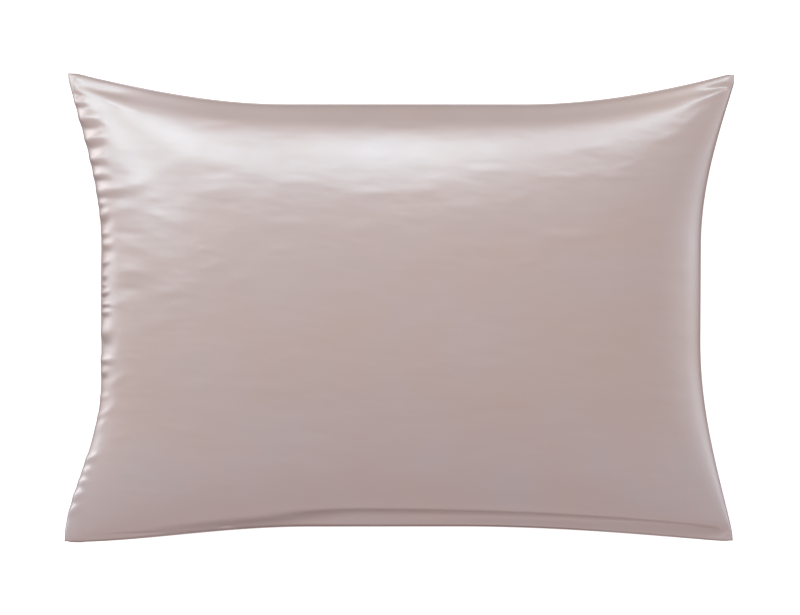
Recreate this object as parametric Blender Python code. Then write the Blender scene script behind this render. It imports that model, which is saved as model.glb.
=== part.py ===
"""A filled satin pillowcase lying on its back, in metres.

+X runs along the long sides, +Y towards the top edge and +Z out of the front.
The front panel and what fills it are one solid: a crown over the seam line, a belly
under it that is flat where it rests, and a thin lip along the seam. The back panel is
a sheet that lies under the belly, from its hem at the open left end to the right end.
A place on either panel is given by two shares: across, from the left side to the
right, and down, from the top side to the bottom.
"""

import math
from collections import namedtuple

import bpy
from mathutils import Vector

# The case as it is sewn, laid flat.
CUT_WIDTH = 0.705
CUT_HEIGHT = 0.500

# The filled case.
SEAM_HEIGHT = 0.066
CROWN = 0.092
BELLY = 0.090
LIP = 0.0025
LIP_THICKNESS = 0.0014
ROUNDNESS = 2.2
FRONT_STEEPNESS = 0.58
BACK_STEEPNESS = 0.55
REST_BLEND = 0.012

# The back panel.
CLOTH = 0.0010
HEM_THICKNESS = 0.0016
HEM_WIDTH = 0.020
PANEL_GAP = 0.0004
HEM_TUCK = 0.0012
HEM_PEEP = 0.0022
HEM_PEEP_AT, HEM_PEEP_SPREAD = 0.44, 0.13
REST_LEVEL = CLOTH + PANEL_GAP

# Each corner is pulled in from the flat case's corner as the case fills.
Corner = namedtuple("Corner", "name pulled_in_x pulled_in_y height")
CORNERS = (
    Corner("top_left", 0.0038, 0.0044, 0.050),
    Corner("top_right", 0.0000, 0.0047, 0.054),
    Corner("bottom_left", 0.0008, 0.0026, 0.047),
    Corner("bottom_right", 0.0010, 0.0039, 0.051),
)

# Each side draws in towards its middle. Rise and fall say how soon and how sharply it
# does so from its first corner and back to its last one.
Side = namedtuple("Side", "name first last draw_in rise rise_power fall fall_power")
SIDES = (
    Side("left", "top_left", "bottom_left", 0.0360, 0.39, 1.10, 0.34, 1.66),
    Side("right", "top_right", "bottom_right", 0.0374, 0.39, 0.98, 0.48, 0.99),
    Side("top", "top_left", "top_right", 0.0322, 0.33, 1.03, 0.35, 0.91),
    Side("bottom", "bottom_left", "bottom_right", 0.0165, 0.37, 1.76, 0.42, 1.04),
)

# Puckers stand along the left seam. Along is measured from the top left corner.
Pucker = namedtuple("Pucker", "along reach depth half_width")
PUCKERS = (
    Pucker(0.026, 0.026, 0.0022, 0.0060),
    Pucker(0.040, 0.026, 0.0020, 0.0060),
    Pucker(0.060, 0.036, 0.0036, 0.0070),
    Pucker(0.080, 0.034, 0.0034, 0.0070),
    Pucker(0.115, 0.038, 0.0026, 0.0090),
    Pucker(0.161, 0.022, 0.0018, 0.0080),
    Pucker(0.190, 0.030, 0.0020, 0.0090),
    Pucker(0.237, 0.018, 0.0016, 0.0070),
    Pucker(0.289, 0.028, 0.0026, 0.0080),
    Pucker(0.343, 0.034, 0.0018, 0.0110),
    Pucker(0.392, 0.024, 0.0016, 0.0080),
    Pucker(0.440, 0.026, 0.0020, 0.0080),
)

# Creases are soft troughs in the front between two places, given as shares.
Crease = namedtuple("Crease", "name from_across from_down to_across to_down depth half_width")
CREASES = (
    Crease("top_right_fold", 0.985, 0.030, 0.900, 0.105, 0.0036, 0.0070),
    Crease("top_right_pull", 0.975, 0.060, 0.905, 0.190, 0.0022, 0.0090),
    Crease("top_left_fold", 0.016, 0.030, 0.085, 0.060, 0.0030, 0.0060),
    Crease("along_bottom", 0.180, 0.968, 1.080, 0.972, 0.0026, 0.0070),
    Crease("upper_left_hollow", 0.060, 0.260, 0.260, 0.150, 0.0012, 0.0160),
    Crease("left_hollow", 0.040, 0.430, 0.230, 0.350, 0.0012, 0.0160),
)

# The spacing of the mesh grows from the seams towards the middle.
FIRST_STEP = 0.0025
STEP_GROWTH = 1.45
WIDEST_STEP_ACROSS = 0.036
WIDEST_STEP_DOWN = 0.020
CLOSEST_ROWS = 0.0045

SATIN_COLOUR = (0.47, 0.37, 0.35, 1.0)
SATIN_ROUGHNESS = 0.38


def smooth_step(low, high, value):
    """0 below low, 1 above high, and a smooth rise between them."""
    share = min(max((value - low) / (high - low), 0.0), 1.0)
    return share * share * (3 - 2 * share)


def bow(side, share):
    """How much of its draw-in a side has at a share of its length."""
    if share < side.rise:
        return math.sin(math.pi / 2 * share / side.rise) ** side.rise_power
    if share > 1 - side.fall:
        return math.sin(math.pi / 2 * (1 - share) / side.fall) ** side.fall_power
    return 1.0


def corner_places():
    """Each corner's place on the filled case, by name."""
    places = {}
    for corner in CORNERS:
        toward_x = -1 if "left" in corner.name else 1
        toward_y = -1 if "bottom" in corner.name else 1
        places[corner.name] = Vector((
            toward_x * (CUT_WIDTH / 2 - corner.pulled_in_x),
            toward_y * (CUT_HEIGHT / 2 - corner.pulled_in_y),
            corner.height,
        ))
    return places


PLACES = corner_places()
SIDE = {side.name: side for side in SIDES}
INWARD = {
    "left": Vector((1, 0, 0)),
    "right": Vector((-1, 0, 0)),
    "top": Vector((0, -1, 0)),
    "bottom": Vector((0, 1, 0)),
}


def side_point(name, share):
    """A point on a side's seam, without the height that its draw-in gives it."""
    side = SIDE[name]
    chord = PLACES[side.first].lerp(PLACES[side.last], share)
    return chord + INWARD[name] * side.draw_in * bow(side, share)


def seam_surface(across, down):
    """The smooth surface that the seam bounds, between the two panels."""
    corners = PLACES["top_left"].lerp(PLACES["top_right"], across).lerp(
        PLACES["bottom_left"].lerp(PLACES["bottom_right"], across), down
    )
    between_sides = side_point("left", down).lerp(side_point("right", down), across)
    between_ends = side_point("top", across).lerp(side_point("bottom", across), down)
    place = between_sides + between_ends - corners
    bow_across = (1 - down) * bow(SIDE["top"], across) + down * bow(SIDE["bottom"], across)
    bow_down = (1 - across) * bow(SIDE["left"], down) + across * bow(SIDE["right"], down)
    raised = 1 - (1 - bow_across) * (1 - bow_down)
    place.z = corners.z + (SEAM_HEIGHT - corners.z) * raised
    return place


def seam_distances(across, down):
    """How far a place is from the left, right, top and bottom seams."""
    width = (side_point("right", down) - side_point("left", down)).length
    height = (side_point("bottom", across) - side_point("top", across)).length
    return across * width, (1 - across) * width, down * height, (1 - down) * height


def swell(near, far, steepness):
    """0 on the lips at two opposite seams and 1 midway between them."""
    half = (near + far) / 2
    share = max((min(near, far) - LIP) / (half - LIP), 0.0)
    return (1 - (1 - share) ** ROUNDNESS) ** steepness


def fullness(across, down, steepness):
    """0 at the seams and 1 in the middle of the case."""
    left, right, top, bottom = seam_distances(across, down)
    return swell(left, right, steepness) * swell(top, bottom, steepness)


def pucker_depth(across, down):
    """How far the puckers lower the front at a place."""
    from_seam = seam_distances(across, down)[0]
    along = down * CUT_HEIGHT
    total = 0.0
    for pucker in PUCKERS:
        if from_seam < pucker.reach:
            fade = math.sin(math.pi * math.sqrt(from_seam / pucker.reach))
            total += pucker.depth * fade * math.exp(-((along - pucker.along) / pucker.half_width) ** 2)
    return total


def crease_depth(across, down):
    """How far the creases lower the front at a place."""
    x, y = across * CUT_WIDTH, down * CUT_HEIGHT
    total = 0.0
    for crease in CREASES:
        start_x, start_y = crease.from_across * CUT_WIDTH, crease.from_down * CUT_HEIGHT
        run_x = crease.to_across * CUT_WIDTH - start_x
        run_y = crease.to_down * CUT_HEIGHT - start_y
        length = math.hypot(run_x, run_y)
        forward = ((x - start_x) * run_x + (y - start_y) * run_y) / length ** 2
        aside = ((x - start_x) * run_y - (y - start_y) * run_x) / length
        if 0 < forward < 1:
            total += crease.depth * math.sin(math.pi * forward) * math.exp(-(aside / crease.half_width) ** 2)
    return total


def front_point(across, down):
    """A point on the front, with its puckers and creases."""
    place = seam_surface(across, down)
    nearest = min(seam_distances(across, down))
    held = smooth_step(0, 2 * LIP, nearest)
    place.z += LIP_THICKNESS / 2 + CROWN * fullness(across, down, FRONT_STEEPNESS)
    place.z -= held * (pucker_depth(across, down) + crease_depth(across, down))
    return place


def belly_point(across, down):
    """A point on the filled body's underside, flat where the case rests."""
    place = seam_surface(across, down)
    free = place.z - LIP_THICKNESS / 2 - BELLY * fullness(across, down, BACK_STEEPNESS)
    blend = max(REST_BLEND - abs(free - REST_LEVEL), 0) / REST_BLEND
    place.z = max(free, REST_LEVEL) + blend ** 2 * REST_BLEND / 4
    return place


def graded_shares(length, widest_step):
    """Shares of a length whose steps grow from FIRST_STEP at both ends."""
    end_steps, step, reached = [0.0], FIRST_STEP, 0.0
    while step < widest_step:
        reached += step
        end_steps.append(reached)
        step *= STEP_GROWTH
    middle = length - 2 * reached
    count = math.ceil(middle / widest_step)
    middle_steps = [reached + middle * i / count for i in range(1, count)]
    far_steps = [length - distance for distance in reversed(end_steps)]
    return [distance / length for distance in end_steps + middle_steps + far_steps]


def grid_rows():
    """The graded rows, and rows along each pucker and on both its shoulders."""
    rows = graded_shares(CUT_HEIGHT, WIDEST_STEP_DOWN)
    wanted = []
    for pucker in PUCKERS:
        for offset in (0, -pucker.half_width, pucker.half_width):
            wanted.append((pucker.along + offset) / CUT_HEIGHT)
    kept = []
    for row in wanted:
        if all(abs(row - other) * CUT_HEIGHT > CLOSEST_ROWS for other in kept):
            kept.append(row)
    for row in rows:
        if row in (0.0, 1.0) or all(abs(row - other) * CUT_HEIGHT > CLOSEST_ROWS for other in kept):
            kept.append(row)
    return sorted(kept)


def grid_faces(columns, rows, first=0, flip=False):
    """The triangles of a grid whose points are stored row by row."""
    faces = []
    for row in range(rows - 1):
        for column in range(columns - 1):
            corner = first + row * columns + column
            below, across_below, beside = corner + columns, corner + columns + 1, corner + 1
            for triangle in ((corner, below, across_below), (corner, across_below, beside)):
                faces.append(triangle[::-1] if flip else triangle)
    return faces


def grid_border(columns, rows):
    """The numbers of a grid's outer points, in order round it."""
    top = list(range(columns))
    right = [row * columns + columns - 1 for row in range(1, rows)]
    bottom = [(rows - 1) * columns + column for column in range(columns - 2, -1, -1)]
    left = [row * columns for row in range(rows - 2, 0, -1)]
    return top + right + bottom + left


def satin(name):
    """The colour and gloss of the cloth."""
    material = bpy.data.materials.new(name)
    material.use_nodes = True
    shader = material.node_tree.nodes["Principled BSDF"]
    shader.inputs["Base Color"].default_value = SATIN_COLOUR
    shader.inputs["Roughness"].default_value = SATIN_ROUGHNESS
    shader.inputs["Metallic"].default_value = 0.0
    return material


def add_object(name, points, faces, parent):
    """A smooth-shaded mesh object under the parent, with its own satin."""
    mesh = bpy.data.meshes.new(name)
    mesh.from_pydata(points, [], faces)
    mesh.shade_smooth()
    mesh.set_sharp_from_angle(angle=math.radians(50))
    mesh.materials.append(satin(name + "_satin"))
    made = bpy.data.objects.new(name, mesh)
    bpy.context.scene.collection.objects.link(made)
    made.parent = parent
    return made


def build_filled_front(parent):
    """The front panel and its filling: front and belly grids, joined round the lip."""
    columns = graded_shares(CUT_WIDTH, WIDEST_STEP_ACROSS)
    rows = grid_rows()
    front = [front_point(across, down) for down in rows for across in columns]
    belly = [belly_point(across, down) for down in rows for across in columns]
    under = len(front)
    faces = grid_faces(len(columns), len(rows))
    faces += grid_faces(len(columns), len(rows), first=under, flip=True)
    border = grid_border(len(columns), len(rows))
    for here, after in zip(border, border[1:] + border[:1]):
        faces.append((here, after, under + after, under + here))
    return add_object("front_panel_filled", front + belly, faces, parent)


def hem_edge(down):
    """How far the back panel's hem edge stands past the left seam, or inside it."""
    peep = math.exp(-((down - HEM_PEEP_AT) / HEM_PEEP_SPREAD) ** 2)
    return (HEM_TUCK + HEM_PEEP) * peep - HEM_TUCK


def back_panel_grid():
    """The points of the belly that the back panel covers, and its columns and rows."""
    columns = graded_shares(CUT_WIDTH, WIDEST_STEP_ACROSS)
    rows = grid_rows()
    points = []
    for down in rows:
        past_seam = hem_edge(down)
        for across in columns:
            place = belly_point(across, down)
            if across == 0.0:
                place -= INWARD["left"] * past_seam
            points.append(place)
    return points, columns, rows


def build_back_panel(parent):
    """The back panel: the belly's surface moved clear of it and given the cloth's thickness."""
    points, columns, rows = back_panel_grid()
    panel = add_object("back_panel", points, grid_faces(len(columns), len(rows), flip=True), parent)
    outward = [vertex.normal.copy() for vertex in panel.data.vertices]
    for vertex, normal in zip(panel.data.vertices, outward):
        vertex.co += normal * PANEL_GAP
    hem = panel.vertex_groups.new(name="hem")
    for number in range(len(points)):
        in_hem = columns[number % len(columns)] * CUT_WIDTH < HEM_WIDTH
        hem.add([number], 1.0 if in_hem else CLOTH / HEM_THICKNESS, "REPLACE")
    solidify = panel.modifiers.new("cloth", "SOLIDIFY")
    solidify.thickness = HEM_THICKNESS
    solidify.offset = 1.0
    solidify.vertex_group = hem.name
    return panel


def main():
    for existing in list(bpy.data.objects):
        bpy.data.objects.remove(existing)
    case = bpy.data.objects.new("pillowcase", None)
    bpy.context.scene.collection.objects.link(case)
    front = build_filled_front(case)
    build_back_panel(case)
    corners = [vertex.co for vertex in front.data.vertices]
    case.location.x = -(min(c.x for c in corners) + max(c.x for c in corners)) / 2
    case.location.y = -(min(c.y for c in corners) + max(c.y for c in corners)) / 2


main()
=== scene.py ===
"""A filled satin pillowcase lying on its back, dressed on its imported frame.

The front is one stuffed piece with its puckers, pulls and creases; the back is a sheet
with a stitched hem at the open left end. A place on either panel is given by two
shares: across, from the left side to the right, and down, from the top side to the
bottom. All sizes are in metres.
"""

import math
from collections import namedtuple

import bpy
import numpy as np
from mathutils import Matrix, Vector


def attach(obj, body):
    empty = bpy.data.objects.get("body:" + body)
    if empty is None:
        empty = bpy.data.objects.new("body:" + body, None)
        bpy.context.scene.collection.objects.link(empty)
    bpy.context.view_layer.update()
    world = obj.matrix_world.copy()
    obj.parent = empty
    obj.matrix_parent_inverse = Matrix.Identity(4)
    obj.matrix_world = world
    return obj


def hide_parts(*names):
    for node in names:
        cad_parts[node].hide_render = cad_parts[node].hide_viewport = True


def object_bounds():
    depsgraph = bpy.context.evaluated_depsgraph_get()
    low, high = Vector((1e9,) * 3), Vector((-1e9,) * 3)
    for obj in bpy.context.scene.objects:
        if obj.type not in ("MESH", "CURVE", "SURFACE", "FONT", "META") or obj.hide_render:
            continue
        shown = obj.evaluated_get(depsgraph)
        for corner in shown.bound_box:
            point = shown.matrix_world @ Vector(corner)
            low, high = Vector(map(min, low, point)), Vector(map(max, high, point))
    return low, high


bl_info = {
    "name": "Filled satin pillowcase",
    "version": (1, 0, 0),
    "blender": (4, 5, 0),
    "location": "View3D > Sidebar > Pillowcase",
    "description": "Builds a filled satin pillowcase and its studio stage",
    "category": "Add Mesh",
}

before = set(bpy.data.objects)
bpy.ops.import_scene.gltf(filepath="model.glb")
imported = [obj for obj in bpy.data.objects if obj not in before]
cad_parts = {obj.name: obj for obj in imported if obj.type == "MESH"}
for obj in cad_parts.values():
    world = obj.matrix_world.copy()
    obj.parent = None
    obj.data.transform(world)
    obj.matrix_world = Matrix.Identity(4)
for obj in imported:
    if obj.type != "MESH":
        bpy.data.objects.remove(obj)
CAD_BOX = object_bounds()

# The camera shows the case as wide in its picture as the photo does.
PHOTO_WIDTH_PX = 800
CASE_WIDTH_PX = 672

# Each corner is pulled in from the flat case's corner as the case fills, and its tip is
# blunt where the seams turn inside it.
Corner = namedtuple("Corner", "name pulled_in_x pulled_in_y height blunt")
CORNERS = (
    Corner("top_left", 0.0038, 0.0044, 0.050, 0.0015),
    Corner("top_right", -0.0036, 0.0047, 0.054, 0.0040),
    Corner("bottom_left", 0.0004, 0.0012, 0.047, 0.0010),
    Corner("bottom_right", -0.0008, 0.0020, 0.051, 0.0016),
)

# Each side draws in towards its middle. Rise and fall say how soon and how sharply it
# does so from its first corner and back to its last one.
Side = namedtuple("Side", "name first last draw_in rise rise_power fall fall_power")
SIDES = (
    Side("left", "top_left", "bottom_left", 0.0406, 0.39, 1.10, 0.34, 1.62),
    Side("right", "top_right", "bottom_right", 0.0390, 0.37, 1.05, 0.43, 1.10),
    Side("top", "top_left", "top_right", 0.0356, 0.33, 1.03, 0.32, 0.91),
    Side("bottom", "bottom_left", "bottom_right", 0.0183, 0.37, 1.76, 0.42, 1.04),
)
SIDE = {side.name: side for side in SIDES}

# How far in from its tip a corner is blunt.
TIP_REACH = 0.006
INWARD = {
    "left": np.array((1.0, 0.0, 0.0)),
    "right": np.array((-1.0, 0.0, 0.0)),
    "top": np.array((0.0, -1.0, 0.0)),
    "bottom": np.array((0.0, 1.0, 0.0)),
}

# Puckers stand along the left seam, each a ridge with a dip a gap below it. Down is
# measured from the case's top; climb is how far a pucker climbs for each metre inward.
Pucker = namedtuple("Pucker", "down gap reach height climb dip")
PUCKERS = (
    Pucker(0.0314, 0.0068, 0.018, 0.0012, 0.00, 1.0),
    Pucker(0.0487, 0.0126, 0.032, 0.0022, 0.00, 1.0),
    Pucker(0.0707, 0.0115, 0.029, 0.0021, 0.15, 1.0),
    Pucker(0.0907, 0.0084, 0.024, 0.0020, 0.00, 0.6),
    Pucker(0.1079, 0.0068, 0.022, 0.0018, 0.00, 0.6),
    Pucker(0.1252, 0.0084, 0.032, 0.0019, 0.05, 0.4),
    Pucker(0.1378, 0.0058, 0.014, 0.0012, 0.00, 0.6),
    Pucker(0.1509, 0.0100, 0.016, 0.0016, 0.30, 1.0),
    Pucker(0.1698, 0.0063, 0.014, 0.0010, 0.00, 1.0),
    Pucker(0.1803, 0.0094, 0.018, 0.0012, 0.00, 1.0),
    Pucker(0.2012, 0.0052, 0.012, 0.0010, 0.30, 1.0),
    Pucker(0.2143, 0.0058, 0.009, 0.0010, 0.20, 1.0),
    Pucker(0.2237, 0.0031, 0.007, 0.0007, 0.00, 1.0),
    Pucker(0.2327, 0.0047, 0.011, 0.0014, 0.30, 1.0),
    Pucker(0.2437, 0.0042, 0.014, 0.0012, 0.00, 1.0),
    Pucker(0.2520, 0.0063, 0.013, 0.0012, 0.10, 1.0),
    Pucker(0.2725, 0.0147, 0.018, 0.0020, 0.10, 1.0),
    Pucker(0.3010, 0.0060, 0.018, 0.0022, 0.00, 0.3),
    Pucker(0.3149, 0.0073, 0.011, 0.0012, 0.20, 1.0),
    Pucker(0.3406, 0.0052, 0.012, 0.0009, 0.20, 0.3),
    Pucker(0.3605, 0.0063, 0.013, 0.0012, 0.50, 0.3),
    Pucker(0.3731, 0.0105, 0.014, 0.0012, 0.50, 0.3),
    Pucker(0.4056, 0.0073, 0.014, 0.0021, 0.30, 0.3),
    Pucker(0.4182, 0.0058, 0.013, 0.0012, 0.00, 0.3),
    Pucker(0.4297, 0.0063, 0.014, 0.0014, 0.00, 0.3),
    Pucker(0.4444, 0.0089, 0.014, 0.0021, 0.10, 0.3),
    Pucker(0.4622, 0.0094, 0.016, 0.0017, 0.60, 0.3),
)

# Half the width of a ridge or dip, as a share of the gap. The less dip a pucker has, the
# more its lower flank slackens. A ridge rises over the shares of its reach that start
# gives, and a dip is deepest near the seam by its power.
PUCKER_WIDTH = 0.5
PUCKER_SLACK = 2.0
PUCKER_START = (-0.10, 0.15)
PUCKER_DIP_POWER = 0.4

# A fold is a soft ridge in the front, or a trough where its height is negative. Its ends
# are measured from the case's left and top; it bends aside by its bow, and its height
# comes and goes over the shares of its length that start and end give. The soft folds all
# have the start and end that are given here.
Fold = namedtuple(
    "Fold", "from_x from_y to_x to_y bow height from_width to_width start end",
    defaults=(0.45, 0.55),
)
FOLDS = (
    # Corner and edge folds.
    Fold(0.1916, 0.4668, 0.7064, 0.4860, 0.0087, -0.0066, 0.0070, 0.0058, 0.25, 0.05),
    Fold(0.0169, 0.4888, 0.1316, 0.4825, 0.0000, -0.0010, 0.0024, 0.0020, 0.15, 0.50),
    Fold(0.0227, 0.4614, 0.0210, 0.4936, 0.0000, -0.0007, 0.0050, 0.0050, 0.40, 0.30),
    Fold(0.0147, 0.0150, 0.0909, 0.0279, 0.0000, -0.0018, 0.0035, 0.0080, 0.40, 0.50),
    Fold(0.0065, 0.0145, 0.0818, 0.0436, 0.0000, 0.0013, 0.0035, 0.0090, 0.25, 0.60),
    Fold(0.0150, 0.0029, 0.0078, 0.0168, 0.0000, 0.0008, 0.0018, 0.0018, 0.30, 0.30),
    Fold(0.0060, 0.0200, 0.0200, 0.0290, 0.0000, -0.0014, 0.0030, 0.0030, 0.30, 0.40),
    Fold(0.7022, 0.0147, 0.6533, 0.0235, -0.0010, -0.0018, 0.0032, 0.0060, 0.20, 0.60),
    Fold(0.7022, 0.0147, 0.6277, 0.0415, 0.0021, 0.0015, 0.0030, 0.0090, 0.20, 0.60),
    Fold(0.6923, 0.0269, 0.6338, 0.0733, -0.0031, 0.0005, 0.0040, 0.0065, 0.30, 0.40),
    Fold(0.3233, 0.0579, 0.3810, 0.0579, 0.0000, -0.0004, 0.0040, 0.0040, 0.40, 0.40),
    Fold(0.1332, 0.0593, 0.1954, 0.0576, 0.0000, -0.0004, 0.0040, 0.0040, 0.40, 0.40),
    Fold(0.1630, 0.4775, 0.1790, 0.4762, 0.0000, -0.0016, 0.0014, 0.0014, 0.30, 0.30),
    Fold(0.3180, 0.4738, 0.3400, 0.4738, 0.0000, -0.0010, 0.0012, 0.0012, 0.30, 0.30),
    Fold(0.5380, 0.4765, 0.5560, 0.4782, 0.0000, -0.0010, 0.0014, 0.0014, 0.30, 0.30),
    Fold(0.7005, 0.4840, 0.6900, 0.4905, 0.0000, 0.0010, 0.0018, 0.0018, 0.30, 0.30),
    # Soft folds that run in from the left side.
    Fold(0.0489, 0.1269, 0.1521, 0.0914, 0.0000, 0.00045, 0.0092, 0.0103),
    Fold(0.0508, 0.0821, 0.1101, 0.0867, 0.0000, 0.00030, 0.0058, 0.0058),
    Fold(0.1370, 0.1069, 0.1868, 0.1106, 0.0000, -0.00015, 0.0046, 0.0046),
    Fold(0.1228, 0.1296, 0.2047, 0.1283, 0.0000, 0.00045, 0.0069, 0.0069),
    Fold(0.1606, 0.1424, 0.1977, 0.1416, 0.0000, -0.00030, 0.0046, 0.0046),
    Fold(0.1925, 0.1375, 0.2344, 0.1377, 0.0000, 0.00015, 0.0046, 0.0046),
    Fold(0.2021, 0.1642, 0.2794, 0.1604, 0.0010, 0.00030, 0.0058, 0.0058),
    Fold(0.2014, 0.1211, 0.3034, 0.1205, 0.0010, 0.00030, 0.0058, 0.0058),
    Fold(0.0357, 0.1252, 0.0951, 0.1219, 0.0000, 0.00075, 0.0052, 0.0063),
    Fold(0.0419, 0.1370, 0.0888, 0.1352, 0.0000, -0.00030, 0.0058, 0.0058),
    Fold(0.0392, 0.1534, 0.0867, 0.1393, 0.0010, 0.00045, 0.0058, 0.0058),
    Fold(0.0825, 0.1475, 0.1567, 0.1628, -0.0021, 0.00029, 0.0058, 0.0058),
    Fold(0.0428, 0.1682, 0.0979, 0.1735, 0.0000, -0.00045, 0.0046, 0.0046),
    Fold(0.0536, 0.1789, 0.1194, 0.1952, 0.0000, 0.00030, 0.0052, 0.0052),
    Fold(0.0431, 0.2088, 0.1110, 0.2126, 0.0010, 0.00060, 0.0058, 0.0058),
    Fold(0.0455, 0.2297, 0.0982, 0.2268, 0.0000, -0.00060, 0.0058, 0.0058),
    Fold(0.0444, 0.2473, 0.0764, 0.2381, 0.0000, 0.00045, 0.0046, 0.0046),
    Fold(0.0830, 0.2401, 0.1572, 0.2199, 0.0000, 0.00045, 0.0069, 0.0069),
    Fold(0.1520, 0.2280, 0.2259, 0.2099, 0.0000, 0.00030, 0.0069, 0.0069),
    Fold(0.1446, 0.2097, 0.1798, 0.1997, 0.0000, 0.00030, 0.0046, 0.0046),
    Fold(0.1361, 0.1892, 0.1673, 0.1884, 0.0000, 0.00015, 0.0029, 0.0029),
    Fold(0.1651, 0.1711, 0.1919, 0.1692, 0.0000, 0.00015, 0.0034, 0.0034),
    Fold(0.2125, 0.1896, 0.2532, 0.1877, 0.0000, 0.00030, 0.0046, 0.0046),
    Fold(0.0786, 0.2689, 0.1406, 0.2534, 0.0000, 0.00030, 0.0069, 0.0069),
    Fold(0.0993, 0.2494, 0.1510, 0.2412, 0.0000, 0.00030, 0.0058, 0.0058),
    Fold(0.0431, 0.3337, 0.0785, 0.3101, 0.0000, 0.00060, 0.0040, 0.0040),
    Fold(0.0395, 0.3651, 0.0650, 0.3392, 0.0000, 0.00060, 0.0046, 0.0046),
    Fold(0.0489, 0.3854, 0.0778, 0.3742, 0.0000, 0.00030, 0.0046, 0.0046),
    Fold(0.1307, 0.3340, 0.1983, 0.3050, 0.0000, 0.00030, 0.0080, 0.0080),
    # Soft folds along the top and on the right.
    Fold(0.4164, 0.0954, 0.4869, 0.0962, 0.0000, 0.00010, 0.0046, 0.0046),
    Fold(0.4060, 0.1070, 0.4826, 0.1067, 0.0000, 0.00018, 0.0046, 0.0046),
    Fold(0.4721, 0.1181, 0.5588, 0.1123, 0.0010, 0.00024, 0.0046, 0.0046),
    Fold(0.4976, 0.1242, 0.5757, 0.1027, 0.0000, 0.00027, 0.0058, 0.0058),
    Fold(0.2792, 0.1338, 0.3764, 0.1298, 0.0010, 0.00045, 0.0058, 0.0058),
    Fold(0.3521, 0.1298, 0.4049, 0.1256, 0.0000, 0.00030, 0.0058, 0.0058),
    Fold(0.3653, 0.1174, 0.4151, 0.1142, 0.0000, 0.00015, 0.0040, 0.0040),
    Fold(0.3956, 0.1451, 0.4453, 0.1450, 0.0000, 0.00030, 0.0058, 0.0058),
    Fold(0.4514, 0.1440, 0.4965, 0.1283, 0.0000, 0.00030, 0.0052, 0.0052),
    Fold(0.4411, 0.1624, 0.4960, 0.1673, 0.0000, 0.00030, 0.0058, 0.0058),
    Fold(0.4817, 0.1724, 0.5599, 0.1740, -0.0021, 0.00045, 0.0058, 0.0058),
    Fold(0.4611, 0.2069, 0.5009, 0.1967, 0.0000, 0.00030, 0.0046, 0.0046),
    Fold(0.2845, 0.1756, 0.3340, 0.1635, 0.0000, 0.00030, 0.0058, 0.0058),
    Fold(0.3803, 0.2000, 0.4247, 0.1999, 0.0000, 0.00015, 0.0046, 0.0046),
    Fold(0.3753, 0.2544, 0.4196, 0.2473, 0.0000, 0.00015, 0.0058, 0.0058),
    Fold(0.5140, 0.0855, 0.5870, 0.0774, 0.0000, 0.00045, 0.0058, 0.0058),
    Fold(0.5630, 0.1091, 0.6119, 0.0927, 0.0000, 0.00030, 0.0040, 0.0040),
    Fold(0.5442, 0.1155, 0.6008, 0.1106, 0.0000, 0.00030, 0.0046, 0.0046),
    Fold(0.5877, 0.1377, 0.6165, 0.1331, 0.0000, 0.00015, 0.0046, 0.0046),
    Fold(0.5123, 0.1774, 0.5788, 0.1687, 0.0000, 0.00030, 0.0058, 0.0058),
    Fold(0.5534, 0.2056, 0.5998, 0.1951, 0.0000, 0.00015, 0.0046, 0.0046),
    Fold(0.6558, 0.0632, 0.5952, 0.0825, 0.0000, 0.00045, 0.0058, 0.0058),
)

# The studio's lights stand round the case and face it. Azimuth is counted from the
# case's right end towards its top side, in degrees.
Light = namedtuple("Light", "name azimuth elevation power")
LIGHTS = (
    Light("key", 90, 28, 7.3),
    Light("key_high", 90, 42, 3.1),
    Light("key_right", 60, 28, 6.4),
    Light("key_left", 120, 34, 8.4),
    Light("left", 150, 34, 8.4),
    Light("left_low", 162, 17, 4.2),
    Light("right_low", 0, 14, 0.9),
)
LIGHT_COLOUR = (0.72, 0.91, 1.0)
LIGHT_DISTANCE = 2.4
LIGHT_WIDTH = 0.8
LIGHT_HEIGHT = 0.6

# The room is even above the horizon. Below it, pale boards stand at the case's two ends
# and a dimmer, warmer one at its foot. Their light fades with the depth, and that of the
# end boards leans towards the case's top side. The left one is the stronger.
ROOM_COLOUR = (1.0, 0.89, 0.89, 1.0)
ROOM_STRENGTH = 0.65
BOARD_COLOUR = (0.87, 0.93, 1.0, 1.0)
BOARD_STRENGTH = 2.3
BOARD_DEPTH = 1.1
BOARD_LEAN = 3.2
BOARD_BIAS = 0.08
FOOT_COLOUR = (1.0, 0.84, 0.81, 1.0)
FOOT_STRENGTH = 1.10
FOOT_DEPTH = 0.8

# The floor reaches so far that a low view shows no edge of it, and glows a little, so
# that it stays as pale as the photo's ground.
FLOOR_REACH = 20.0
FLOOR_DROP = 0.0002
FLOOR_ROUGHNESS = 0.8
FLOOR_GLOW = 0.7
WHITE = (1, 1, 1, 1)

# The puckers and folds are measured from a point this far inside the flat case's corner.
CASE_MARGIN_X = 0.0004
CASE_MARGIN_Y = 0.0030

# The front's edge is rolled over this far in from the seam, and its lip stands out.
EDGE_ROLL = 0.0012
SEAM_LIP = 0.0009

# How round and how steep the filling makes each panel as it leaves the seams.
ROUNDNESS = 2.2
FRONT_STEEPNESS = 0.58
BACK_STEEPNESS = 0.55

# The belly rounds into its flat within this height, and lies this far over the back panel.
REST_BLEND = 0.012
PANEL_GAP = 0.0004

# A panel's grid is fine at the seams: its first step, how much each next step grows, and
# its widest one.
Steps = namedtuple("Steps", "first growth widest")
FRONT_COLUMNS = Steps(0.0006, 1.18, 0.0036)
FRONT_ROWS = Steps(0.0006, 1.25, 0.0014)
BACK_COLUMNS = Steps(0.0012, 1.3, 0.0080)
BACK_ROWS = Steps(0.0012, 1.3, 0.0060)

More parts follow.
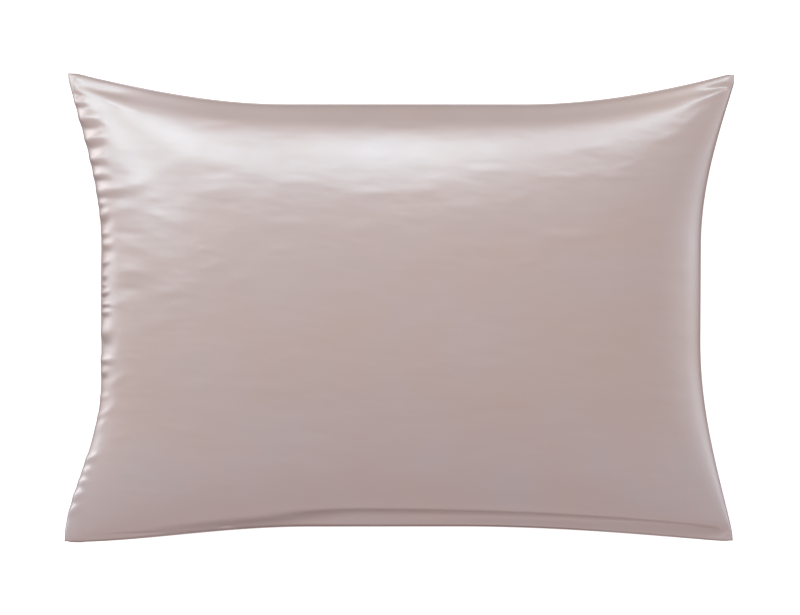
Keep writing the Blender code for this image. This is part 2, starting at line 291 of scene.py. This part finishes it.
# The back panel's hem is a second layer that ends a little way in from the open left end.
# Its edge shows past the puckers where it peeps out, and is tucked under them elsewhere.
HEM_WIDTH = 0.020
HEM_STEP = 0.0006
HEM_EDGE = 0.0008
HEM_TUCK = 0.0010
HEM_PEEP = 0.0014
HEM_PEEP_AT = 0.44
HEM_PEEP_SPREAD = 0.17

# The hem's inner edge falls to the single layer over a narrow strip, which has a column of
# the grid at either side. An edge that turns by more than the sharpness is shaded sharp.
HEM_COLUMN = 0.0006
HEM_FALL = 0.0005
HEM_SHARPNESS = 50.0

# One row of stitches holds the hem. A stitch's length is a share of the pitch, and its
# relief is counted in threads.
STITCH_LINE = 0.0185
STITCH_PITCH = 0.0030
STITCH_HALF_WIDTH = 0.0004
STITCH_LENGTH = 0.8
STITCH_PALENESS = 1.25
STITCH_RELIEF = 4.0

# The front lies unevenly in soft, long waves, with finer ones on them. They and the folds
# fade out this far from the seams.
WAVE_LENGTH_X = 0.034
WAVE_LENGTH_Y = 0.011
WAVE_HEIGHT = 0.00015
WAVE_SEED = 11
WAVE_LATTICE = 64
WAVE_CLEAR = 0.03
FINE_WAVE_SHARE = 0.5
FOLD_CLEAR = 0.003

# The satin's colour is uneven in broad blotches and its gloss in smaller ones, all given by how
# many there are to the metre. The numbers of warm and of the painted light are warmths, which add
# red and take away blue. Towards the bottom seam the cloth carries painted light, a paler and
# cooler copy of its colour, which gives way to its own warm colour between the two heights.
BLOTCH_SCALE = 11.0
BLOTCH_DETAIL = 3.0
GLOSS_SCALE = 30.0
GLOSS_RANGE = 0.02
WARM_DARK = 0.06
WARM_PALE = 0.0
# Painted light: the warmths of the paler, cooler copy of the cloth near its bottom seam.
PAINTED_LIGHT_DARK = 0.01
PAINTED_LIGHT_PALE = -0.06
PAINTED_LIGHT_HEIGHTS = (0.08, 0.15)

# Threads and floats are drawn out across the cloth: their scale across and along it.
THREAD_STRETCH = (0.12, 1.0)
FLOAT_STRETCH = (0.30, 3.0)

# Between a seam and the filling the front runs straight, in a shallow dip that ends at
# the filling's shoulder. At and spread are measured from the seam, clear from its corners.
Dip = namedtuple("Dip", "side depth at spread clear")
DIPS = (
    Dip("top", 0.0036, 0.0100, 0.0100, 0.08),
    Dip("bottom", 0.0056, 0.0045, 0.0055, 0.24),
)


class PillowcaseShape(bpy.types.PropertyGroup):
    """The sizes of the case and of its filling."""

    cut_width: bpy.props.FloatProperty(
        name="Cut width", description="Length of the flat case", default=0.705,
        min=0.3, max=1.2, unit="LENGTH",
    )
    cut_height: bpy.props.FloatProperty(
        name="Cut height", description="Height of the flat case", default=0.500,
        min=0.2, max=0.9, unit="LENGTH",
    )
    seam_height: bpy.props.FloatProperty(
        name="Seam height", description="Height of the seam at the middle of each side",
        default=0.066, min=0.01, max=0.2, unit="LENGTH",
    )
    crown: bpy.props.FloatProperty(
        name="Crown", description="How high the front stands over the seam",
        default=0.092, min=0.01, max=0.2, unit="LENGTH",
    )
    belly: bpy.props.FloatProperty(
        name="Belly",
        description="How far the back would hang under the seam if nothing held it up",
        default=0.090, min=0.01, max=0.2, unit="LENGTH",
    )
    cloth: bpy.props.FloatProperty(
        name="Cloth", description="Thickness of the back panel", default=0.0010,
        min=0.0002, max=0.003, unit="LENGTH",
    )
    pucker: bpy.props.FloatProperty(
        name="Pucker", description="Strength of the puckers along the left seam", default=1.0,
        min=0.0, max=2.0, subtype="FACTOR",
    )
    crease: bpy.props.FloatProperty(
        name="Crease", description="Strength of the creases", default=1.0,
        min=0.0, max=2.0, subtype="FACTOR",
    )


class PillowcaseSatin(bpy.types.PropertyGroup):
    """The look of the cloth."""

    colour: bpy.props.FloatVectorProperty(
        name="Colour", description="Colour of the satin", subtype="COLOR", size=4,
        default=(0.50, 0.40, 0.375, 1.0), min=0.0, max=1.0,
    )
    roughness: bpy.props.FloatProperty(
        name="Roughness", description="0 is a mirror, 1 is chalk", default=0.35,
        min=0.0, max=1.0, subtype="FACTOR",
    )
    ior: bpy.props.FloatProperty(
        name="Gloss", description="Index of refraction of the threads", default=1.8,
        min=1.0, max=2.5,
    )
    specular: bpy.props.FloatProperty(
        name="Shine", description="How strongly the threads' faces reflect", default=1.0,
        min=0.0, max=1.0, subtype="FACTOR",
    )
    unevenness: bpy.props.FloatProperty(
        name="Unevenness", description="How much the colour varies over the cloth", default=0.02,
        min=0.0, max=0.3, subtype="FACTOR",
    )
    # Painted light: how much paler and cooler the cloth is painted towards its bottom seam.
    painted_foot_light: bpy.props.FloatProperty(
        name="Drift",
        description="How much paler and cooler the cloth turns towards its bottom seam",
        default=0.085, min=0.0, max=0.3, subtype="FACTOR",
    )
    thread_count: bpy.props.FloatProperty(
        name="Thread count", description="Threads to the metre", default=3000.0,
        min=500.0, max=8000.0,
    )
    relief: bpy.props.FloatProperty(
        name="Relief", description="How far the threads stand out", default=0.00001,
        min=0.0, max=0.0005, precision=5, unit="LENGTH",
    )


class PillowcaseStage(bpy.types.PropertyGroup):
    """The studio."""

    lens: bpy.props.FloatProperty(
        name="Lens", description="Focal length of the camera, in millimetres", default=100.0,
        min=20.0, max=300.0,
    )
    floor_colour: bpy.props.FloatVectorProperty(
        name="Floor", description="Colour of the floor", subtype="COLOR", size=4,
        default=(0.90, 0.90, 0.90, 1.0), min=0.0, max=1.0,
    )


def smooth_step(low, high, value):
    """0 below low, 1 above high, and a smooth rise between them."""
    share = np.clip((value - low) / (high - low), 0.0, 1.0)
    return share * share * (3 - 2 * share)


def soft_noise(x, y, length_x, length_y, seed):
    """Smooth uneven waves between -1 and 1, of the given lengths."""
    column, row = x / length_x, y / length_y
    i, j = np.floor(column).astype(int), np.floor(row).astype(int)
    lattice = np.random.default_rng(seed).uniform(-1, 1, (WAVE_LATTICE, WAVE_LATTICE))
    share_x, share_y = smooth_step(0, 1, column - i), smooth_step(0, 1, row - j)
    left, right = i % WAVE_LATTICE, (i + 1) % WAVE_LATTICE
    above, below = j % WAVE_LATTICE, (j + 1) % WAVE_LATTICE
    upper = lattice[above, left] * (1 - share_x) + lattice[above, right] * share_x
    lower = lattice[below, left] * (1 - share_x) + lattice[below, right] * share_x
    return upper * (1 - share_y) + lower * share_y


def bow(side, share):
    """How much of its draw-in a side has at a share of its length."""
    rising = np.sin(np.pi / 2 * np.clip(share / side.rise, 0, 1)) ** side.rise_power
    falling = np.sin(np.pi / 2 * np.clip((1 - share) / side.fall, 0, 1)) ** side.fall_power
    return rising * falling


class CaseForm:
    """The surfaces of the filled case, worked out from its sizes."""

    def __init__(self, shape):
        self.shape = shape
        self.places = {}
        for corner in CORNERS:
            toward_x = -1 if "left" in corner.name else 1
            toward_y = -1 if "bottom" in corner.name else 1
            self.places[corner.name] = np.array((
                toward_x * (shape.cut_width / 2 - corner.pulled_in_x),
                toward_y * (shape.cut_height / 2 - corner.pulled_in_y),
                corner.height,
            ))
        self.middle = np.zeros(3)
        ends = [self.places[name][:2] for name in self.places]
        low, high = np.min(ends, axis=0), np.max(ends, axis=0)
        self.middle[:2] = (low + high) / 2

    def side_point(self, name, share):
        """Points on a side's seam, without the height that its draw-in gives it."""
        side = SIDE[name]
        share = np.asarray(share)[..., None]
        chord = self.places[side.first] * (1 - share) + self.places[side.last] * share
        return chord + INWARD[name] * side.draw_in * bow(side, share)

    def seam_surface(self, across, down):
        """The smooth surface that the seam bounds, between the two panels."""
        s, t = across[..., None], down[..., None]
        corners = (
            (self.places["top_left"] * (1 - s) + self.places["top_right"] * s) * (1 - t)
            + (self.places["bottom_left"] * (1 - s) + self.places["bottom_right"] * s) * t
        )
        left, right = self.side_point("left", down), self.side_point("right", down)
        top, bottom = self.side_point("top", across), self.side_point("bottom", across)
        between_sides = left * (1 - s) + right * s
        between_ends = top * (1 - t) + bottom * t
        place = between_sides + between_ends - corners
        bow_across = (1 - down) * bow(SIDE["top"], across) + down * bow(SIDE["bottom"], across)
        bow_down = (1 - across) * bow(SIDE["left"], down) + across * bow(SIDE["right"], down)
        raised = 1 - (1 - bow_across) * (1 - bow_down)
        corner_height = corners[..., 2]
        place[..., 2] = corner_height + (self.shape.seam_height - corner_height) * raised
        for corner in CORNERS:
            from_side = across if "left" in corner.name else 1 - across
            from_end = down if "top" in corner.name else 1 - down
            away = np.hypot(from_side * self.shape.cut_width, from_end * self.shape.cut_height)
            inward = sum(INWARD[key] for key in corner.name.split("_")) / math.sqrt(2)
            place += inward * corner.blunt * np.exp(-(away / TIP_REACH) ** 2)[..., None]
        return place - self.middle

    def seam_distances(self, across, down):
        """How far a place is from the left, right, top and bottom seams."""
        run_across = self.side_point("right", down) - self.side_point("left", down)
        run_down = self.side_point("bottom", across) - self.side_point("top", across)
        width = np.linalg.norm(run_across, axis=-1)
        height = np.linalg.norm(run_down, axis=-1)
        return across * width, (1 - across) * width, down * height, (1 - down) * height

    def fullness(self, across, down, steepness):
        """0 at the seams and 1 in the middle of the case."""
        left, right, top, bottom = self.seam_distances(across, down)
        return swell(left, right, steepness) * swell(top, bottom, steepness)

    def pucker_height(self, from_left_seam, y):
        """How far the puckers raise the front at a place."""
        total = np.zeros_like(y)
        for pucker in PUCKERS:
            share = np.clip(from_left_seam / pucker.reach, 0, 1)
            ridge_fade = np.cos(np.pi / 2 * share) * smooth_step(*PUCKER_START, share)
            dip_fade = np.sin(np.pi * share ** PUCKER_DIP_POWER)
            aside = y - pucker.down + pucker.climb * from_left_seam
            half_width = PUCKER_WIDTH * pucker.gap
            lower_width = half_width * (1 + PUCKER_SLACK * (1 - pucker.dip))
            flank = np.where(aside < 0, half_width, lower_width)
            ridge = ridge_fade * np.exp(-(aside / flank) ** 2)
            dip = dip_fade * np.exp(-((aside - pucker.gap) / half_width) ** 2)
            total += pucker.height * (ridge - pucker.dip * dip)
        return total * self.shape.pucker

    def fold_height(self, x, y):
        """How far the folds raise the front at a place."""
        total = np.zeros_like(x)
        for fold in FOLDS:
            run_x, run_y = fold.to_x - fold.from_x, fold.to_y - fold.from_y
            length = math.hypot(run_x, run_y)
            along = ((x - fold.from_x) * run_x + (y - fold.from_y) * run_y) / length ** 2
            aside = ((x - fold.from_x) * run_y - (y - fold.from_y) * run_x) / length
            inside = np.clip(along, 0, 1)
            aside = aside - fold.bow * 4 * inside * (1 - inside)
            width = fold.from_width + (fold.to_width - fold.from_width) * inside
            rise = smooth_step(0, fold.start, along) * smooth_step(0, fold.end, 1 - along)
            total += fold.height * rise * np.exp(-(aside / width) ** 2)
        return total * self.shape.crease

    def front(self, across, down):
        """The front's surface, with its puckers and folds, on a grid of shares."""
        place = self.seam_surface(across, down)
        left, right, top, bottom = self.seam_distances(across, down)
        place[..., 2] += self.shape.crown * self.fullness(across, down, FRONT_STEEPNESS)
        distances = {"left": left, "right": right, "top": top, "bottom": bottom}
        for dip in DIPS:
            ends = (top, bottom) if dip.side in ("left", "right") else (left, right)
            clear = smooth_step(0, dip.clear, ends[0]) * smooth_step(0, dip.clear, ends[1])
            away = (distances[dip.side] - dip.at) / dip.spread
            place[..., 2] -= dip.depth * clear * np.exp(-away ** 2)
        outward = grid_normals(place)
        x = place[..., 0] + self.shape.cut_width / 2
        y = self.shape.cut_height / 2 - place[..., 1]
        x, y = x - CASE_MARGIN_X, y - CASE_MARGIN_Y
        nearest = np.minimum(np.minimum(left, right), np.minimum(top, bottom))
        held = smooth_step(0, FOLD_CLEAR, nearest)
        waves = soft_noise(x, y, WAVE_LENGTH_X, WAVE_LENGTH_Y, WAVE_SEED)
        waves += FINE_WAVE_SHARE * soft_noise(
            x + y, y - x / 4, WAVE_LENGTH_X / 2, WAVE_LENGTH_Y / 2, WAVE_SEED + 1
        )
        raised = self.pucker_height(left, y) + held * self.fold_height(x, y)
        raised += WAVE_HEIGHT * smooth_step(0, WAVE_CLEAR, nearest) * waves
        place += outward * raised[..., None]
        roll = EDGE_ROLL * np.sqrt(1 - (1 - np.clip(nearest / EDGE_ROLL, 0, 1)) ** 2)
        place[..., 2] += roll
        seams = {"left": np.s_[:, 0], "right": np.s_[:, -1], "top": np.s_[0], "bottom": np.s_[-1]}
        for name, seam in seams.items():
            place[seam] -= INWARD[name] * SEAM_LIP
        return place

    def back(self, across, down):
        """The filled body's underside, flat where the case rests."""
        rest_level = self.shape.cloth + PANEL_GAP
        place = self.seam_surface(across, down)
        hang = self.shape.belly * self.fullness(across, down, BACK_STEEPNESS)
        free = place[..., 2] - hang
        blend = np.maximum(REST_BLEND - np.abs(free - rest_level), 0) / REST_BLEND
        place[..., 2] = np.maximum(free, rest_level) + blend ** 2 * REST_BLEND / 4
        return place


def grid_normals(place):
    """Unit normals of a surface given on a grid whose rows run down and columns across."""
    along_rows = np.gradient(place, axis=1)
    down_rows = np.gradient(place, axis=0)
    normals = np.cross(down_rows, along_rows)
    return normals / np.linalg.norm(normals, axis=-1, keepdims=True)


def swell(near, far, steepness):
    """0 at two opposite seams and 1 midway between them."""
    share = np.minimum(near, far) / ((near + far) / 2)
    return (1 - (1 - np.clip(share, 0, 1)) ** ROUNDNESS) ** steepness


def graded_shares(length, steps):
    """Shares of a length whose steps grow from the first one at both ends."""
    end_steps, step, reached = [0.0], steps.first, 0.0
    while step < steps.widest:
        reached += step
        end_steps.append(reached)
        step *= steps.growth
    middle = length - 2 * reached
    count = math.ceil(middle / steps.widest)
    middle_steps = [reached + middle * i / count for i in range(1, count)]
    far_steps = [length - distance for distance in reversed(end_steps)]
    return np.array(end_steps + middle_steps + far_steps) / length


def grid_faces(numbers):
    """The quads of a grid of point numbers, facing up where its rows run down."""
    quads = np.stack(
        [numbers[:-1, :-1], numbers[1:, :-1], numbers[1:, 1:], numbers[:-1, 1:]], axis=-1
    )
    return quads.reshape(-1, 4).tolist()


def under_faces(fine, coarse, row_picks, column_picks):
    """The faces of a coarse grid that hangs from a fine grid's border, facing down.

    Picks are the fine rows and columns that the coarse grid keeps. Its border cells take
    in every fine point between them, so the two grids share one seam.
    """
    faces = []
    last_row, last_column = len(row_picks) - 2, len(column_picks) - 2
    for i in range(last_row + 1):
        top, bottom = row_picks[i], row_picks[i + 1]
        for j in range(last_column + 1):
            left, right = column_picks[j], column_picks[j + 1]
            down_left = fine[top:bottom, 0] if j == 0 else coarse[i, j:j + 1]
            along_bottom = fine[-1, left:right] if i == last_row else coarse[i + 1, j:j + 1]
            up_right = (
                fine[bottom:top:-1, -1] if j == last_column else coarse[i + 1, j + 1:j + 2]
            )
            along_top = fine[0, right:left:-1] if i == 0 else coarse[i, j + 1:j + 2]
            ring = np.concatenate([down_left, along_bottom, up_right, along_top])
            faces.append(ring[::-1].tolist())
    return faces


def every_third(count):
    """The numbers 0, 3, 6 and so on, with the last one of the count."""
    picks = list(range(0, count - 3, 3))
    return np.array(picks + [count - 1])


def make_piece(name, points, faces, flat_places):
    """A smooth mesh piece whose UV map holds each point's place on the flat cloth, in metres."""
    mesh = bpy.data.meshes.new(name)
    mesh.from_pydata(points.tolist(), [], faces)
    mesh.shade_smooth()
    layer = mesh.uv_layers.new(name="flat_cloth")
    corners = np.zeros(len(mesh.loops), dtype=np.int32)
    mesh.loops.foreach_get("vertex_index", corners)
    layer.data.foreach_set("uv", flat_places[corners].astype(np.float32).ravel())
    piece = bpy.data.objects.new(name, mesh)
    bpy.context.scene.collection.objects.link(piece)
    return piece


class Nodes:
    """A short way to add and join shader nodes."""

    def __init__(self, owner):
        owner.use_nodes = True
        self.tree = owner.node_tree
        self.shader = self.tree.nodes.get("Principled BSDF")

    def join(self, start, end):
        """Link an output socket to an input socket."""
        self.tree.links.new(start, end)

    def place(self):
        """The place on the flat cloth, in metres."""
        return self.tree.nodes.new("ShaderNodeUVMap").outputs["UV"]

    def stretched(self, place, across, along):
        """A place measured in threads instead of metres."""
        node = self.tree.nodes.new("ShaderNodeMapping")
        node.inputs["Scale"].default_value = (across, along, 1.0)
        self.join(place, node.inputs["Vector"])
        return node.outputs["Vector"]

    def noise(self, place, scale, detail=2.0):
        """Flat noise at a place on the cloth."""
        node = self.tree.nodes.new("ShaderNodeTexNoise")
        node.noise_dimensions = "2D"
        node.inputs["Scale"].default_value = scale
        node.inputs["Detail"].default_value = detail
        self.join(place, node.inputs["Vector"])
        return node.outputs["Fac"]

    def spread(self, value, low, high, first=0.25, last=0.75):
        """Stretch a value between first and last so that it runs from low to high."""
        node = self.tree.nodes.new("ShaderNodeMapRange")
        node.inputs["From Min"].default_value = first
        node.inputs["From Max"].default_value = last
        node.inputs["To Min"].default_value = low
        node.inputs["To Max"].default_value = high
        self.join(value, node.inputs["Value"])
        return node.outputs["Result"]

    def math(self, kind, first, second=0.0):
        """A sum of two sockets or numbers."""
        node = self.tree.nodes.new("ShaderNodeMath")
        node.operation = kind
        for socket, value in zip(node.inputs, (first, second)):
            if isinstance(value, float):
                socket.default_value = value
            else:
                self.join(value, socket)
        return node.outputs["Value"]

    def fading(self, height, depth):
        """1 at the horizon, and 0 at the depth under it and lower."""
        left = self.math("ADD", self.math("DIVIDE", height, depth), 1.0)
        return self.math("MAXIMUM", left, 0.0)

    def split(self, vector):
        """The X, Y and Z of a vector."""
        node = self.tree.nodes.new("ShaderNodeSeparateXYZ")
        self.join(vector, node.inputs["Vector"])
        return node.outputs

    def mix(self, share, first, second):
        """The first colour where the share is 0 and the second where it is 1."""
        node = self.tree.nodes.new("ShaderNodeMix")
        node.data_type = "RGBA"
        self.join(share, node.inputs["Factor"])
        for key, value in (("A", first), ("B", second)):
            socket = [s for s in node.inputs if s.name == key and s.type == "RGBA"][0]
            if isinstance(value, tuple):
                socket.default_value = value
            else:
                self.join(value, socket)
        return [s for s in node.outputs if s.type == "RGBA"][0]

    def bump(self, height, distance):
        """Raise the shader's surface by a height times a distance."""
        node = self.tree.nodes.new("ShaderNodeBump")
        node.inputs["Distance"].default_value = distance
        self.join(height, node.inputs["Height"])
        self.join(node.outputs["Normal"], self.shader.inputs["Normal"])


def shaded(colour, factor, warmth):
    """A colour made lighter or darker, and warmer or cooler."""
    red, green, blue, alpha = colour
    return (red * factor * (1 + warmth), green * factor, blue * factor * (1 - warmth), alpha)


def satin_material(name, satin, stitched=False):
    """Glossy satin: fine floats, slubs and a soft uneven lie."""
    material = bpy.data.materials.new(name)
    nodes = Nodes(material)
    shader = nodes.shader
    shader.inputs["IOR"].default_value = satin.ior
    shader.inputs["Specular IOR Level"].default_value = satin.specular
    place = nodes.place()
    colour = tuple(satin.colour)
    flat = nodes.split(place)
    blotches = nodes.spread(nodes.noise(place, BLOTCH_SCALE, BLOTCH_DETAIL), 0.0, 1.0)
    paler, uneven = 1 + satin.painted_foot_light, satin.unevenness
    warm = nodes.mix(
        blotches, shaded(colour, 1 - uneven, WARM_DARK), shaded(colour, 1 + uneven, WARM_PALE)
    )
    # Painted light: a paler, cooler copy of the cloth, which it takes on towards its bottom seam.
    painted_cool_light = nodes.mix(
        blotches,
        shaded(colour, paler - uneven, PAINTED_LIGHT_DARK), shaded(colour, paler + uneven, PAINTED_LIGHT_PALE),
    )
    cloth = nodes.mix(nodes.spread(flat["Y"], 1.0, 0.0, *PAINTED_LIGHT_HEIGHTS), warm, painted_cool_light)
    threads = nodes.noise(nodes.stretched(place, *THREAD_STRETCH), satin.thread_count, 1.0)
    floats = nodes.noise(nodes.stretched(place, *FLOAT_STRETCH), satin.thread_count, 1.0)
    relief = nodes.math("ADD", threads, floats)
    dullness = nodes.noise(place, GLOSS_SCALE)
    roughness = nodes.spread(
        dullness, satin.roughness - GLOSS_RANGE, satin.roughness + GLOSS_RANGE
    )
    nodes.join(roughness, shader.inputs["Roughness"])
    if stitched:
        away = nodes.math("ABSOLUTE", nodes.math("SUBTRACT", flat["X"], STITCH_LINE))
        near = nodes.math("LESS_THAN", away, STITCH_HALF_WIDTH)
        turn = nodes.math("FRACT", nodes.math("DIVIDE", flat["Y"], STITCH_PITCH))
        stitch = nodes.math("MULTIPLY", near, nodes.math("LESS_THAN", turn, STITCH_LENGTH))
        cloth = nodes.mix(stitch, cloth, shaded(colour, STITCH_PALENESS, 0.0))
        relief = nodes.math("ADD", relief, nodes.math("MULTIPLY", stitch, STITCH_RELIEF))
    nodes.join(cloth, shader.inputs["Base Color"])
    nodes.bump(relief, satin.relief)
    return material


class PILLOWCASE_OT_front(bpy.types.Operator):
    """Build the front panel with the filling inside it"""

    bl_idname = "pillowcase.front"
    bl_label = "Front panel and filling"

    def execute(self, context):
        shape = context.scene.pillowcase_shape
        form = CaseForm(shape)
        columns = graded_shares(shape.cut_width, FRONT_COLUMNS)
        rows = graded_shares(shape.cut_height, FRONT_ROWS)
        across, down = np.meshgrid(columns, rows)
        front = form.front(across, down).reshape(-1, 3)
        row_picks, column_picks = every_third(len(rows)), every_third(len(columns))
        picked = np.ix_(row_picks, column_picks)
        inner = np.ones((len(row_picks), len(column_picks)), dtype=bool)
        inner[0], inner[-1], inner[:, 0], inner[:, -1] = False, False, False, False
        under = form.back(across[picked], down[picked])[inner]
        fine = np.arange(across.size).reshape(across.shape)
        coarse = fine[picked]
        coarse[inner] = across.size + np.arange(len(under))
        faces = grid_faces(fine) + under_faces(fine, coarse, row_picks, column_picks)
        flat = np.stack([across * shape.cut_width, (1 - down) * shape.cut_height], axis=-1)
        piece = make_piece(
            "front_cover", np.concatenate([front, under]), faces,
            np.concatenate([flat.reshape(-1, 2), flat[picked][inner]]),
        )
        piece.data.materials.append(satin_material("front_cloth", context.scene.pillowcase_satin))
        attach(piece, "root")
        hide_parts("front_panel_filled")
        return {"FINISHED"}


class PILLOWCASE_OT_back(bpy.types.Operator):
    """Build the back panel with its hem"""

    bl_idname = "pillowcase.back"
    bl_label = "Back panel"

    def execute(self, context):
        shape = context.scene.pillowcase_shape
        form = CaseForm(shape)
        columns = graded_shares(shape.cut_width, BACK_COLUMNS)
        step_at = np.array((HEM_WIDTH, HEM_WIDTH + HEM_COLUMN)) / shape.cut_width
        columns = np.sort(np.concatenate([[0.0], columns, step_at]))
        rows = graded_shares(shape.cut_height, BACK_ROWS)
        across, down = np.meshgrid(columns, rows)
        points = form.back(across, down)
        numbers = np.arange(across.size).reshape(across.shape)
        faces = [face[::-1] for face in grid_faces(numbers)]
        peeping = np.exp(-((rows - HEM_PEEP_AT) / HEM_PEEP_SPREAD) ** 2)[:, None]
        points[:, 1] += INWARD["left"] * HEM_TUCK * (1 - peeping)
        points[:, 0] = points[:, 1] - INWARD["left"] * (HEM_EDGE + HEM_PEEP * peeping)
        flat = np.stack([across * shape.cut_width, (1 - down) * shape.cut_height], axis=-1)
        piece = make_piece("back_cover", points.reshape(-1, 3), faces, flat.reshape(-1, 2))
        mesh = piece.data
        outward = np.zeros(len(mesh.vertices) * 3, np.float32)
        mesh.vertices.foreach_get("normal", outward)
        hem = 1 - smooth_step(HEM_WIDTH, HEM_WIDTH + HEM_FALL, across * shape.cut_width)
        offset = PANEL_GAP + HEM_STEP * hem.reshape(-1, 1)
        moved = points.reshape(-1, 3) + outward.reshape(-1, 3) * offset
        mesh.vertices.foreach_set("co", moved.astype(np.float32).ravel())
        solidify = piece.modifiers.new("cloth", "SOLIDIFY")
        solidify.thickness = shape.cloth
        solidify.offset = 1.0
        settled = piece.evaluated_get(context.evaluated_depsgraph_get())
        thick = bpy.data.meshes.new_from_object(settled)
        piece.modifiers.clear()
        piece.data = thick
        thick.set_sharp_from_angle(angle=math.radians(HEM_SHARPNESS))
        satin = context.scene.pillowcase_satin
        thick.materials.append(satin_material("back_cloth", satin, stitched=True))
        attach(piece, "root")
        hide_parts("back_panel")
        return {"FINISHED"}


def add_light(context, light):
    """A soft panel of light that faces the middle of the case."""
    data = bpy.data.lights.new(light.name, "AREA")
    data.shape = "RECTANGLE"
    data.size, data.size_y = LIGHT_WIDTH, LIGHT_HEIGHT
    data.energy = light.power
    data.color = LIGHT_COLOUR
    lamp = bpy.data.objects.new(light.name, data)
    context.scene.collection.objects.link(lamp)
    turn, rise = math.radians(light.azimuth), math.radians(light.elevation)
    outward = Vector((
        math.cos(rise) * math.cos(turn), math.cos(rise) * math.sin(turn), math.sin(rise),
    ))
    lamp.location = outward * LIGHT_DISTANCE
    lamp.rotation_mode = "QUATERNION"
    lamp.rotation_quaternion = outward.to_track_quat("Z", "Y")
    lamp.visible_camera = False


class PILLOWCASE_OT_stage(bpy.types.Operator):
    """Build the floor, the lights and the camera"""

    bl_idname = "pillowcase.stage"
    bl_label = "Stage"

    def execute(self, context):
        stage = context.scene.pillowcase_stage
        low, high = CAD_BOX
        seam_height = context.scene.pillowcase_shape.seam_height
        mesh = bpy.data.meshes.new("floor")
        ends = ((-1, -1), (1, -1), (1, 1), (-1, 1))
        corners = [(x * FLOOR_REACH, y * FLOOR_REACH, 0) for x, y in ends]
        mesh.from_pydata(corners, [], [(0, 1, 2, 3)])
        floor = bpy.data.objects.new("floor", mesh)
        context.scene.collection.objects.link(floor)
        floor.location.z = -FLOOR_DROP
        material = bpy.data.materials.new("floor_paper")
        nodes = Nodes(material)
        nodes.shader.inputs["Base Color"].default_value = stage.floor_colour
        nodes.shader.inputs["Roughness"].default_value = FLOOR_ROUGHNESS
        nodes.shader.inputs["Emission Color"].default_value = WHITE
        nodes.shader.inputs["Emission Strength"].default_value = FLOOR_GLOW
        mesh.materials.append(material)
        floor.visible_glossy = False
        floor.visible_diffuse = False

        camera_data = bpy.data.cameras.new("camera")
        camera = bpy.data.objects.new("camera", camera_data)
        context.scene.collection.objects.link(camera)
        context.scene.camera = camera
        camera_data.lens = stage.lens
        camera_data.sensor_fit = "HORIZONTAL"
        frame_width = (high.x - low.x) * PHOTO_WIDTH_PX / CASE_WIDTH_PX
        distance = frame_width * stage.lens / camera_data.sensor_width
        camera.location = ((low.x + high.x) / 2, (low.y + high.y) / 2, seam_height + distance)

        world = context.scene.world or bpy.data.worlds.new("studio")
        context.scene.world = world
        nodes = Nodes(world)
        direction = nodes.split(nodes.tree.nodes.new("ShaderNodeTexCoord").outputs["Generated"])
        above = nodes.math("GREATER_THAN", direction["Z"], 0.0)
        lean = nodes.math("ADD", nodes.math("MULTIPLY", direction["Y"], BOARD_LEAN), 1.0)
        bias = nodes.math("SUBTRACT", 1.0, nodes.math("MULTIPLY", direction["X"], BOARD_BIAS))
        endwise = nodes.math("MULTIPLY", direction["X"], direction["X"])
        boards = nodes.math("MULTIPLY", nodes.math("MULTIPLY", endwise, BOARD_STRENGTH), bias)
        boards = nodes.math("MULTIPLY", boards, nodes.math("MAXIMUM", lean, 0.0))
        boards = nodes.math("MULTIPLY", boards, nodes.fading(direction["Z"], BOARD_DEPTH))
        foot = nodes.math("MULTIPLY", nodes.math("MINIMUM", direction["Y"], 0.0), -FOOT_STRENGTH)
        foot = nodes.math("MULTIPLY", foot, nodes.fading(direction["Z"], FOOT_DEPTH))
        room = nodes.math("MULTIPLY", above, ROOM_STRENGTH)
        under = nodes.math("SUBTRACT", 1.0, above)
        lower = nodes.math("MULTIPLY", under, nodes.math("ADD", boards, foot))
        background = nodes.tree.nodes["Background"]
        below = nodes.mix(endwise, FOOT_COLOUR, BOARD_COLOUR)
        nodes.join(nodes.mix(above, below, ROOM_COLOUR), background.inputs["Color"])
        nodes.join(nodes.math("ADD", room, lower), background.inputs["Strength"])
        for light in LIGHTS:
            add_light(context, light)
        context.scene.view_settings.view_transform = "Standard"
        return {"FINISHED"}


class PILLOWCASE_PT_panel(bpy.types.Panel):
    """Lists the steps that build the case"""

    bl_label = "Pillowcase"
    bl_idname = "PILLOWCASE_PT_panel"
    bl_space_type = "VIEW_3D"
    bl_region_type = "UI"
    bl_category = "Pillowcase"

    def draw(self, context):
        for operator in OPERATORS:
            self.layout.operator(operator.bl_idname)
        for group in ("pillowcase_shape", "pillowcase_satin", "pillowcase_stage"):
            settings = getattr(context.scene, group)
            box = self.layout.box()
            for key in settings.__annotations__:
                box.prop(settings, key)


OPERATORS = (PILLOWCASE_OT_front, PILLOWCASE_OT_back, PILLOWCASE_OT_stage)
GROUPS = (PillowcaseShape, PillowcaseSatin, PillowcaseStage)


def register():
    """Add the classes, and the settings to the scene."""
    for made in GROUPS + OPERATORS + (PILLOWCASE_PT_panel,):
        bpy.utils.register_class(made)
    bpy.types.Scene.pillowcase_shape = bpy.props.PointerProperty(type=PillowcaseShape)
    bpy.types.Scene.pillowcase_satin = bpy.props.PointerProperty(type=PillowcaseSatin)
    bpy.types.Scene.pillowcase_stage = bpy.props.PointerProperty(type=PillowcaseStage)


def unregister():
    """Take the settings and the classes away again."""
    del bpy.types.Scene.pillowcase_shape
    del bpy.types.Scene.pillowcase_satin
    del bpy.types.Scene.pillowcase_stage
    for made in reversed(GROUPS + OPERATORS + (PILLOWCASE_PT_panel,)):
        bpy.utils.unregister_class(made)


def main():
    """Register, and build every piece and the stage."""
    register()
    bpy.ops.pillowcase.front()
    bpy.ops.pillowcase.back()
    bpy.ops.pillowcase.stage()


if __name__ == "__main__":
    main()
